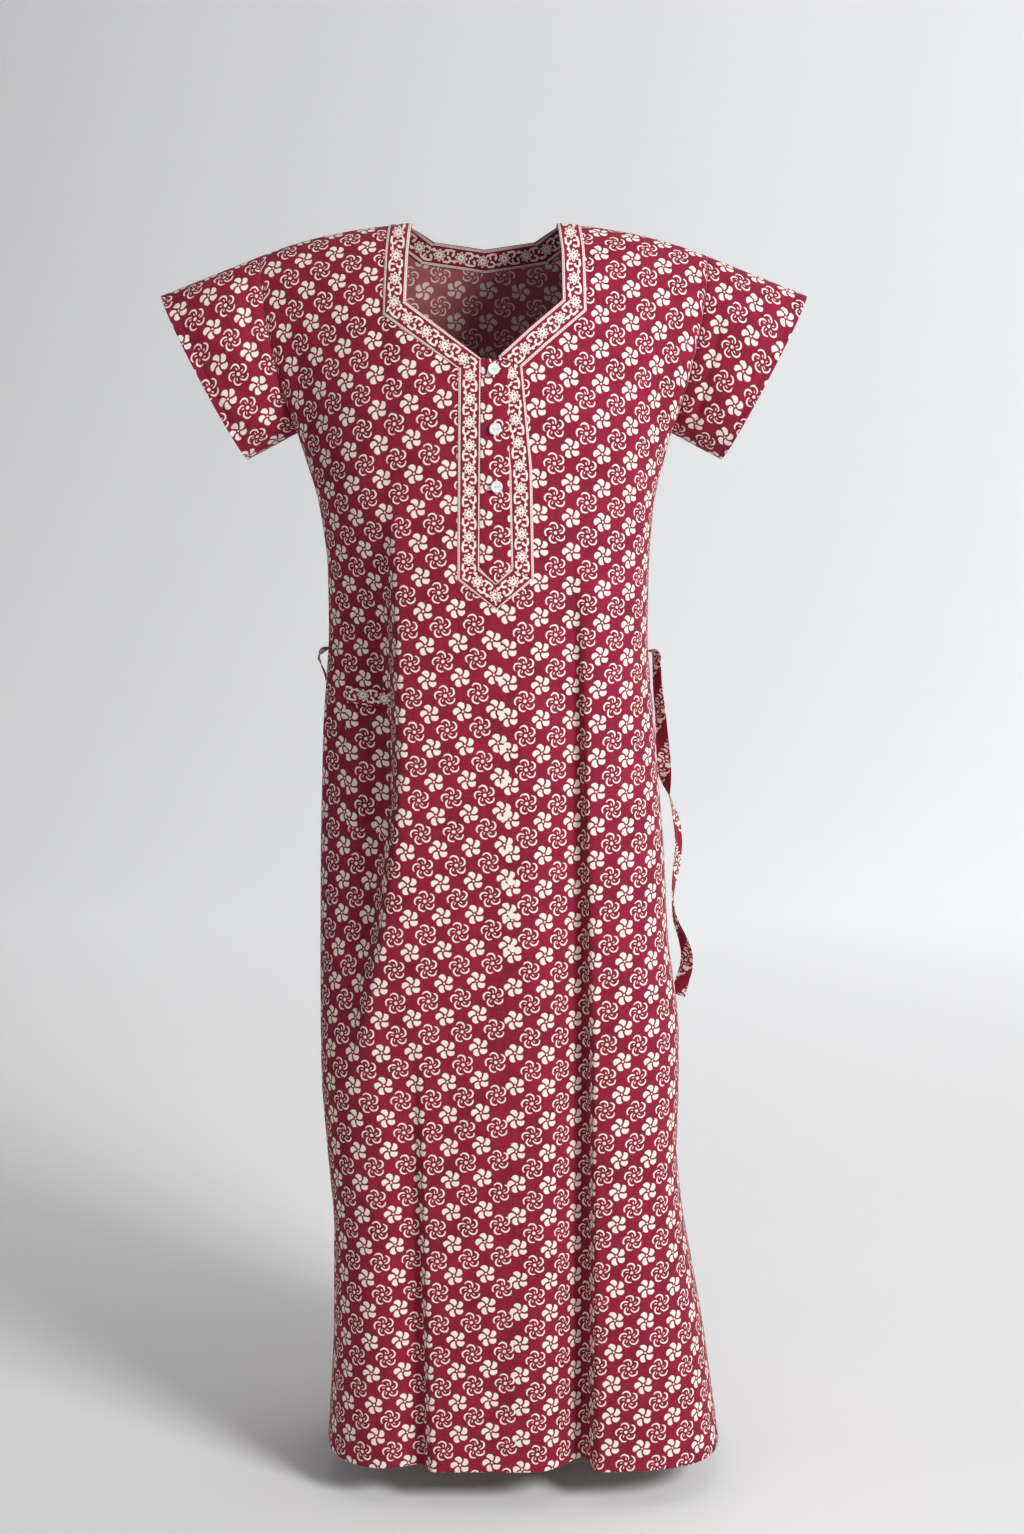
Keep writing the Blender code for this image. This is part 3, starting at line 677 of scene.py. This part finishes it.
def border_print(name):
    """The border print: ladder lines at both edges, and daisies with a mirrored scroll between each two."""
    made, shader, place, x, y = cloth_material(name)
    repeat, rung = 23.9, 2.9
    rail = abs(x) - 10.9
    dot = rail.long(((y / rung).fract() - 0.5) * rung)
    ladder = (abs(rail) - 1.3).high(0.55 - dot).high(-abs(((y / rung + 0.5).fract() - 0.5) * rung) + 0.12)
    cell = ((y / repeat).fract() - 0.5) * repeat
    far = x.long(cell)
    turn = cell.calc("ARCTAN2", cell, x) / (math.tau / 8)
    turn = ((turn + 0.5).fract() - 0.5) * (math.tau / 8)
    px, py = far * turn.calc("COSINE", turn), far * turn.calc("SINE", turn)
    petal = ((px - 4.3) / 2.5).long(py / 1.55)
    daisy = ((petal - 1.0) * 1.55).high((0.42 - petal) * 1.55).low((abs(far - 1.65) - 0.75))
    number = (y / repeat + 0.5).floor_()
    mirror = (number * 0.5).fract() * 4.0 - 1.0
    sx, sy = x * mirror, ((y / repeat + 0.5).fract() - 0.5) * repeat
    arch = (abs((sx + 3.9).long(sy + 2.7) - 2.7) - 0.95).high(-sy - 3.2)
    leg = (sx + 6.3).long((abs(sy + 4.9) - 1.7).high(0.0)) - 0.9
    ball = ((sx + 5.0).long(sy - 5.2) - 1.6).low((sx + 4.7).long((abs(sy - 3.0) - 1.2).high(0.0)) - 0.6)
    stroke = (sx - 6.7 + (sy + 1.0) * (sy + 1.0) * 0.035).long((abs(sy + 1.4) - 4.9).high(0.0)) - 0.85
    along, off = (sx - 2.4) * 0.906 + (sy - 2.9) * 0.423, (sy - 2.9) * 0.906 - (sx - 2.4) * 0.423
    leaf = ((along / 2.1).long(off / 1.2) - 1.0) * 1.2
    foot = (abs(sx - 3.6) - 1.5).high(0.0).long(sy + 3.1) - 0.75
    scroll = arch.low(leg).low(ball).low(stroke).low(leaf).low(foot)
    shape = ladder.low(daisy).low(scroll - 0.22)
    rough = place.node("ShaderNodeTexNoise", {"Vector": place, "Scale": 1100.0, "Detail": 1.0})
    return dress(made, shader, place, (shape + (rough - 0.5) * 0.35).inside(0.35))


def band(name, inner, outer, side, to_shoulder):
    """A mitred strip between two lines of (x, z) points, closed all round, with coordinates across and along
    it."""
    grids = []
    across = np.array((0.0, 0.0, 0.03, 0.075, 0.12, *np.linspace(0.18, 0.82, 9), 0.88, 0.925, 0.97, 1.0, 1.0))
    edge = np.minimum(across, 1 - across)
    top = BAND_LOW + (BAND_HIGH - BAND_LOW) * np.sqrt(1 - np.square(1 - np.clip(edge / 0.03, 0, 1)))
    top = top - 0.00035 * np.exp(-np.square((edge - 0.075) / 0.02))
    along_so_far = 0.0
    inner, outer = np.array(inner), np.array(outer)
    for k in range(len(inner) - 1):
        flow = (inner[k + 1] + outer[k + 1]) / 2 - (inner[k] + outer[k]) / 2
        size = np.linalg.norm(flow)
        count = max(3, int(size / 0.0028))
        part = np.linspace(0, 1, count)
        if k in to_shoulder:
            part = part**2 if k == 0 else 1 - (1 - part) ** 2
        a, p = np.meshgrid(across, part)
        wide = (a * 1.10 - 0.05)[..., None]
        start = inner[k] + (outer[k] - inner[k]) * wide
        end = inner[k + 1] + (outer[k + 1] - inner[k + 1]) * wide
        spot = start + (end - start) * p[..., None]
        if k in to_shoulder:
            shoulder_z = -0.0001 - SHOULDER_FALL * (np.abs(spot[..., 0]) / 0.24) ** 2.6
            spot[..., 1] = np.minimum(spot[..., 1], shoulder_z)
        line = flow / size
        normal = np.array((-line[1], line[0]))
        middle = (inner[k] + outer[k]) / 2
        ux = (spot - middle) @ normal
        uy = along_so_far + (spot - middle) @ line
        along_so_far += size
        height = np.broadcast_to(top, a.shape)
        face = on_body(side, spot[..., 0], spot[..., 1], height)
        under = on_body(side, spot[..., 0], spot[..., 1], np.full_like(a, BAND_LOW))
        uvs = np.stack((ux, uy), axis=-1)
        grids.append((face, uvs))
        grids.append((under[:, ::-1], uvs[:, ::-1]))
        for row in ((0,) if k == 0 else ()) + ((-1,) if k == len(inner) - 2 else ()):
            pair = (under[row], face[row]) if row == 0 else (face[row], under[row])
            grids.append((np.stack(pair), np.stack((uvs[row], uvs[row]))))
    made = cloth_piece(name, grids, (border_cotton,))
    face_outwards(made.data, thin=1e-7)
    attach(made, "gown")
    return made


border_cotton = border_print("border_cotton")
BANDS = (
    ("neck_band_right", [(-0.078, 0.0), (-0.080, -0.030), (-0.082, -0.083), (-0.002, -0.142)],
     [(-0.101, 0.0), (-0.103, -0.030), (-0.105, -0.096), (-0.025, -0.151)], -1, (0,)),
    ("neck_band_left", [(0.079, 0.0), (0.083, -0.030), (0.083, -0.081), (0.046, -0.111), (0.017, -0.138)],
     [(0.102, 0.0), (0.106, -0.030), (0.108, -0.093), (0.0680, -0.1265), (0.040, -0.150)], -1, (0,)),
    ("neck_band_back", [(-0.079, 0.0), (-0.079, -0.006), (-0.055, -0.022), (0.0, -0.030), (0.055, -0.022),
                        (0.079, -0.006), (0.079, 0.0)],
     [(-0.102, 0.0), (-0.102, -0.016), (-0.070, -0.043), (0.0, -0.054), (0.070, -0.043), (0.102, -0.016),
      (0.102, 0.0)], 1, (0, 5)),
    ("placket_band_right", [(-0.002, -0.142), (-0.004, -0.360)],
     [(-0.025, -0.151), (-0.027, -0.371)], -1, ()),
    ("placket_band_left", [(0.017, -0.138), (0.0272, -0.255), (0.0295, -0.360)],
     [(0.040, -0.150), (0.0502, -0.255), (0.0525, -0.371)], -1, ()),
    ("placket_tip_right", [(-0.004, -0.360), (0.0128, -0.376)], [(-0.027, -0.371), (0.0135, -0.402)], -1, ()),
    ("placket_tip_left", [(0.029, -0.360), (0.0128, -0.376)], [(0.052, -0.371), (0.0135, -0.402)], -1, ()),
)
for name, inner, outer, side, to_shoulder in BANDS:
    made = band(name + "_cloth", inner, outer, side, to_shoulder)
    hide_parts(name)

# ---------------------------------------------------------------- button and buttonhole stands
# Two narrow strips of the printed cotton close the placket: the under one carries the buttons, and the
# upper one has a stitched buttonhole under each. Between the bands only their plain middle shows.
BUTTONS = {"button_top": (0.0110, -0.152), "button_middle": (0.0125, -0.213),
           "button_bottom": (0.0140, -0.273)}
stand_cotton = printed_cotton("stand_cotton", (0.3, -306.5), stitched=list(BUTTONS.values()))
STANDS = (
    ("button_stand", (-0.0010, 0.0004),
     ((-0.142, -0.0035, 0.0185), (-0.255, -0.0045, 0.0270), (-0.360, -0.0055, 0.0300),
      (-0.374, 0.0125, 0.0132))),
    ("buttonhole_stand", (0.0005, 0.0014),
     ((-0.1415, -0.0025, 0.0265), (-0.255, -0.0035, 0.0272), (-0.358, -0.0045, 0.0295),
      (-0.3745, 0.0122, 0.0134))),
)
for name, heights, stations in STANDS:
    heights_z, rights, lefts = np.array(stations).T
    z = np.concatenate((np.linspace(heights_z[0], heights_z[2], 84, endpoint=False),
                        np.linspace(heights_z[2], heights_z[3], 12)))
    part = np.array((0.0, 0.0, 0.02, 0.06, 0.10, *np.linspace(0.16, 0.84, 11), 0.90, 0.94, 0.98, 1.0, 1.0))
    part, z = np.meshgrid(part, z)
    x = np.interp(-z, -heights_z, rights) * (1 - part) + np.interp(-z, -heights_z, lefts) * part
    edge = np.minimum(part, 1 - part)
    height = heights[0] + (heights[1] - heights[0]) * np.sqrt(1 - np.square(1 - np.clip(edge / 0.02, 0, 1)))
    if name == "buttonhole_stand":
        height = height - 0.0004 * np.exp(-np.square((edge - 0.06) / 0.02))
        for at_x, at_z in BUTTONS.values():
            near = np.exp(-np.square((x - at_x) / 0.0022) - np.square((z - at_z) / 0.009) ** 2)
            height = height + 0.0004 * near
    uvs = np.stack((x, z), axis=-1)
    face = on_body(-1, x, z, height)
    under = on_body(-1, x, z, np.full_like(x, heights[0]))
    grids = [(face, uvs), (under[:, ::-1], uvs[:, ::-1]),
             (np.stack((under[0], face[0])), np.stack((uvs[0], uvs[0]))),
             (np.stack((face[-1], under[-1])), np.stack((uvs[-1], uvs[-1])))]
    made = cloth_piece(name + "_cloth", grids, (stand_cotton,))
    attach(made, "gown")
    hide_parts(name)

# ---------------------------------------------------------------- pocket
# A patch pocket on the wearer's right, in the recess beside the fold: a patch of the print under a border
# band.
POCKET = (
    ("pocket_band", -0.152, -0.101, (-0.494, -0.497), (-0.513, -0.515)),
    ("pocket_patch", -0.152, -0.101, (-0.5135, -0.5155), (-0.650, -0.655)),
)
pocket_cotton = printed_cotton("pocket_cotton", (-146.0, -532.0), lean=-1.0, rise=-5.0)
for name, right, left, upper, lower in POCKET:
    part = (0.0, 0.0, 0.02, 0.05, 0.09, *np.linspace(0.13, 0.87, 14), 0.91, 0.95, 0.98, 1.0, 1.0)
    drop = (0.0, 0.0, *np.linspace(0.03, 0.97, 6 if "band" in name else 44), 1.0, 1.0)
    part, drop = np.meshgrid(part, drop)
    x = right + (left - right) * part
    z_top = upper[0] + (upper[1] - upper[0]) * part
    z_low = lower[0] + (lower[1] - lower[0]) * part
    z = z_top + (z_low - z_top) * drop
    rim = np.minimum(np.minimum(part, 1 - part) * 52,
                     np.minimum(drop, 1 - drop) * 1000 * np.abs(z_top - z_low))
    height = -0.0004 + 0.0015 * np.sqrt(1 - np.square(1 - np.clip(rim / 1.0, 0, 1)))
    height = height - 0.0004 * np.exp(-np.square((rim - 2.6) / 0.8))
    height = height + 0.0012 * (1 - np.exp(-np.square(rim / 12.0)))
    along = np.stack((z - (z_top + z_low) / 2, x), axis=-1) if "band" in name else np.stack((x, z), axis=-1)
    face = on_body(-1, x, z, height)
    under = on_body(-1, x, z, np.full_like(x, -0.0004))
    made = cloth_piece(name + "_cloth", [(face, along), (under[:, ::-1], along[:, ::-1])],
                       (border_cotton if "band" in name else pocket_cotton,))
    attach(made, "gown")
    "border_cotton" if "band" in name else "printed_cotton"
    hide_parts(name)

# ---------------------------------------------------------------- waist ties
# A narrow folded and edge-stitched strip of the print on each side seam, at the waist. The left one hangs
# clear of the skirt and twists twice; the right one hangs behind the skirt.
TIE_WIDTH, TIE_THICK = 0.017, 0.0012
# Name, body, (height, degrees that the broad side is turned from facing forwards), points of its middle line
TIES = (
    ("waist_tie_left", "left_tie",
     ((-0.470, 62), (-0.500, 58), (-0.560, 42), (-0.595, 12), (-0.618, 50), (-0.632, 86), (-0.665, 118),
      (-0.720, 122), (-0.752, 100), (-0.768, 84), (-0.800, 58), (-0.835, 35), (-0.876, 20)),
     ((0.1828, 0.003, -0.4645), (0.1873, 0.005, -0.4657), (0.1900, 0.009, -0.4690),
      (0.1908, 0.014, -0.4740), (0.1915, 0.018, -0.4850), (0.1922, 0.021, -0.5000),
      (0.1940, 0.023, -0.5180), (0.1970, 0.022, -0.5450), (0.1990, 0.022, -0.5730),
      (0.2010, 0.024, -0.6000), (0.2045, 0.028, -0.6250), (0.2125, 0.033, -0.6500),
      (0.2180, 0.036, -0.6700), (0.2200, 0.037, -0.6920), (0.2180, 0.038, -0.7180),
      (0.2145, 0.040, -0.7430), (0.2140, 0.042, -0.7650), (0.2180, 0.044, -0.7850),
      (0.2260, 0.047, -0.8040), (0.2315, 0.050, -0.8220), (0.2320, 0.053, -0.8400),
      (0.2270, 0.056, -0.8580), (0.2230, 0.059, -0.8760))),
    ("waist_tie_right", "right_tie",
     ((-0.470, 84), (-0.520, 70), (-0.600, 20), (-0.925, 0)),
     ((-0.1755, 0.003, -0.4645), (-0.1800, 0.006, -0.4657), (-0.1833, 0.012, -0.4690),
      (-0.1845, 0.020, -0.4745), (-0.1830, 0.030, -0.4840), (-0.1790, 0.040, -0.4980),
      (-0.1765, 0.047, -0.5150), (-0.1760, 0.052, -0.5450), (-0.1770, 0.055, -0.5850),
      (-0.1780, 0.056, -0.6300), (-0.1790, 0.057, -0.6800), (-0.1795, 0.058, -0.7300),
      (-0.1797, 0.058, -0.7800), (-0.1797, 0.058, -0.8300), (-0.1797, 0.058, -0.8800),
      (-0.1795, 0.058, -0.9250))),
)


def tie_frame(route, facing):
    """A tie's points every 3 mm on a smooth line through its route, and the directions of its width and its
    face."""
    route = np.array(route)
    lengths = np.concatenate(((0.0,), np.cumsum(np.linalg.norm(np.diff(route, axis=0), axis=1))))
    fine = np.linspace(0, lengths[-1], int(lengths[-1] / 0.003))
    points = np.stack([np.interp(fine, lengths, column) for column in route.T], axis=-1)
    window = np.exp(-np.square(np.linspace(-1.8, 1.8, 9)))
    window /= window.sum()
    padded = np.pad(points, ((4, 4), (0, 0)), mode="reflect", reflect_type="odd")
    points = np.stack([np.convolve(c, window, "valid") for c in padded.T], axis=-1)
    ahead = np.gradient(points, axis=0)
    ahead /= np.linalg.norm(ahead, axis=1, keepdims=True)
    wide = np.stack((-ahead[:, 2], np.zeros(len(ahead)), ahead[:, 0]), axis=-1)
    wide /= np.linalg.norm(wide, axis=1, keepdims=True)
    face = np.cross(ahead, wide)
    heights, degrees = np.array(facing).T
    turn = np.radians(np.interp(-points[:, 2], -heights, degrees))
    turn = np.convolve(np.pad(turn, 4, mode="edge"), window, "valid")[:, None]
    wide, face = wide * np.cos(turn) + face * np.sin(turn), face * np.cos(turn) - wide * np.sin(turn)
    return points, wide, face, fine


tie_cotton = printed_cotton("tie_cotton", (3.0, -14.0), lean=38.0, rise=-30.0)
for name, body, facing, route in TIES:
    points, wide, face, along = tie_frame(route, facing)
    ring = np.linspace(0, math.tau, 33)
    across = np.sign(np.cos(ring)) * np.abs(np.cos(ring)) ** 0.6 * TIE_WIDTH / 2
    thick = np.sign(np.sin(ring)) * np.abs(np.sin(ring)) ** 0.35 * TIE_THICK / 2
    thick = thick * (1 - 0.45 * np.exp(-np.square((np.abs(across) - 0.0066) / 0.0006)))
    cup = 0.0012 * np.sin(along / 0.031)[:, None] * (1 - np.square(across / (TIE_WIDTH / 2)))
    sheet = points[:, None] + wide[:, None] * across[None, :, None]
    sheet = sheet + face[:, None] * (thick[None] + cup)[..., None]
    ends = [np.repeat(sheet[row].mean(axis=0, keepdims=True), 33, axis=0)[None] for row in (0, -1)]
    sheet = np.concatenate((ends[0], sheet, ends[1]))
    down = np.concatenate((along[:1], along, along[-1:]))
    uvs = np.stack(np.broadcast_arrays(across[None], -down[:, None]), axis=-1)
    made = cloth_piece(name + "_cloth", [(sheet, uvs)], (tie_cotton,))
    face_outwards(made.data)
    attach(made, body)
    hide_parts(name)

# ---------------------------------------------------------------- buttons and their thread
# Three two-hole shell buttons with a raised rim and a dished middle, each sewn on with a bar of pale thread.
BUTTON_RADIUS, BUTTON_BACK, HOLE_SPACING, HOLE_RADIUS = 0.00625, 0.0025, 0.0030, 0.00075
pivots = {joint["child"]: joint["pos_m"] for joint in frame["joints"]}

shell, shell_shader, spot = blank_material("button_shell")
cloud = spot.node("ShaderNodeTexNoise", {"Vector": spot, "Scale": 420.0, "Detail": 3.0, "Distortion": 1.2})
pearl = (cloud * 2.4 - 0.7).clip().two((0.80, 0.84, 0.90, 1), (0.93, 0.92, 0.90, 1))
spot.tree.links.new(pearl.socket, shell_shader.inputs["Base Color"])
spot.tree.links.new((0.16 + cloud * 0.20).socket, shell_shader.inputs["Roughness"])
shell_shader.inputs["Coat Weight"].default_value = 0.5
shell_shader.inputs["Coat Roughness"].default_value = 0.08

thread_stuff, thread_shader, spot = blank_material("sewing_thread")
ply = spot.node("ShaderNodeTexNoise", {"Vector": spot, "Scale": 2600.0, "Detail": 2.0})
strand = (ply * 2.0 - 0.5).clip().two((0.86, 0.62, 0.62, 1), (0.95, 0.86, 0.84, 1))
spot.tree.links.new(strand.socket, thread_shader.inputs["Base Color"])
thread_shader.inputs["Roughness"].default_value = 0.8


def turned_button(low):
    """Profile points (radius, height) of the button, from the middle of its back round to the middle of its
    face."""
    r = BUTTON_RADIUS
    turn = np.linspace(-math.pi / 2, math.pi / 2, 13)
    rim = np.stack((r - 0.0010 + 0.0010 * np.cos(turn), low + 0.00105 + 0.00105 * np.sin(turn)), axis=-1)
    dish = np.linspace(0, 1, 12)
    bowl_height = low + 0.0021 - 0.0006 * np.sin(dish**0.6 * math.pi / 2)
    bowl_line = np.stack(((r - 0.0010) * (1 - dish), bowl_height), axis=-1)
    back = np.stack(((r - 0.0010) * np.linspace(0, 1, 4), np.full(4, low)), axis=-1)
    return np.concatenate((back[:-1], rim, bowl_line[1:]))


def placed(name, parts, stuff, tilt, pivot):
    """One object from closed meshes of (points, faces) in the button's own frame, tilted and put at its
    pivot."""
    points = np.concatenate([p for p, _ in parts])
    starts = np.cumsum([0] + [len(p) for p, _ in parts[:-1]])
    faces = [tuple(int(k + s) for k in f) for (_, fs), s in zip(parts, starts) for f in fs]
    c, s = math.cos(tilt), math.sin(tilt)
    points = points @ np.array(((1, 0, 0), (0, c, s), (0, -s, c))) + np.array(pivot)
    mesh = bpy.data.meshes.new(name)
    mesh.from_pydata(points.tolist(), [], faces)
    face_outwards(mesh, merge=1e-7)
    mesh.polygons.foreach_set("use_smooth", np.ones(len(mesh.polygons), bool))
    obj = bpy.data.objects.new(name, mesh)
    bpy.context.scene.collection.objects.link(obj)
    mesh.materials.append(stuff)
    return obj


def closed_rings(rings):
    """Points and faces of the skin over rings of points, each of which closes on itself."""
    number = np.arange(rings.shape[0] * rings.shape[1]).reshape(rings.shape[:2])
    number = np.hstack((number, number[:, :1]))
    faces = np.stack((number[:-1, :-1], number[:-1, 1:], number[1:, 1:], number[1:, :-1]), -1)
    return rings.reshape(-1, 3), faces.reshape(-1, 4).tolist()


def revolve(profile, steps=48):
    """A profile turned about z, with both of its ends on the axis."""
    turn = np.linspace(0, math.tau, steps, endpoint=False)
    points = np.stack((profile[:, None, 0] * np.cos(turn), profile[:, None, 0] * np.sin(turn),
                       np.broadcast_to(profile[:, None, 1], (len(profile), steps))), axis=-1)
    return closed_rings(points)


def strand_tube(path, radius, sides=10):
    """A closed tube of that radius along a path of points in one plane through y."""
    path = np.array(path)
    ahead = np.gradient(path, axis=0)
    ahead /= np.linalg.norm(ahead, axis=1, keepdims=True)
    flat = np.array((0.0, 1.0, 0.0))
    other = np.cross(ahead, flat)
    turn = np.linspace(0, math.tau, sides, endpoint=False)
    circle = np.cos(turn)[None, :, None] * flat + np.sin(turn)[None, :, None] * other[:, None]
    ring = path[:, None] + radius * circle
    ring = np.concatenate((np.repeat(path[:1, None], sides, 1), ring, np.repeat(path[-1:, None], sides, 1)))
    return closed_rings(ring)


for name, (at_x, at_z) in BUTTONS.items():
    body = name.replace("button_", "") + "_button"
    pivot = pivots[body]
    u, v = find(np.array([at_x]), np.array([at_z]), -1)
    normal = outward(-1, u, v)[0]
    tilt = math.pi / 2 - math.atan2(normal[2], -normal[1])
    disc = placed(name + "_shell", [revolve(turned_button(BUTTON_BACK))], shell, tilt, pivot)
    drill = np.array(((0, 0.001), (HOLE_RADIUS, 0.001), (HOLE_RADIUS, 0.006), (0, 0.006)))
    hole = placed(name + "_holes", [revolve(drill)], shell, tilt, pivot)
    for hand in (-1, 1):
        hole.location.x = hand * HOLE_SPACING / 2
        cut = disc.modifiers.new("hole", "BOOLEAN")
        cut.operation, cut.solver, cut.object = "DIFFERENCE", "EXACT", hole
        bpy.context.view_layer.update()
        with bpy.context.temp_override(object=disc, active_object=disc):
            bpy.ops.object.modifier_apply(modifier=cut.name)
    bpy.data.objects.remove(hole, do_unlink=True)
    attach(disc, body)
    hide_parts(name)
    tubes = []
    for lane in (-0.00022, 0.00022):
        bar = [(-0.0015 + 0.003 * t, lane, BUTTON_BACK + 0.0016 + 0.0006 * math.sin(math.pi * t) ** 0.5)
               for t in np.linspace(0, 1, 15)]
        legs = [[(s * 0.0015, lane, BUTTON_BACK - 0.0006 + 0.0022 * t) for t in np.linspace(0, 1, 5)]
                for s in (-1, 1)]
        tubes += [strand_tube(line, 0.00024) for line in (legs[0], bar, legs[1])]
    for turn in range(4):
        angle = math.tau * turn / 4
        off = 0.0004
        post = [(off * math.cos(angle + 2.5 * t), off * math.sin(angle + 2.5 * t), BUTTON_BACK * t)
                for t in np.linspace(0, 1, 9)]
        tubes.append(strand_tube(post, 0.00036))
    thread = placed(name + "_thread_strands", tubes, thread_stuff, tilt, pivot)
    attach(thread, body)
    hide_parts(name + "_thread")
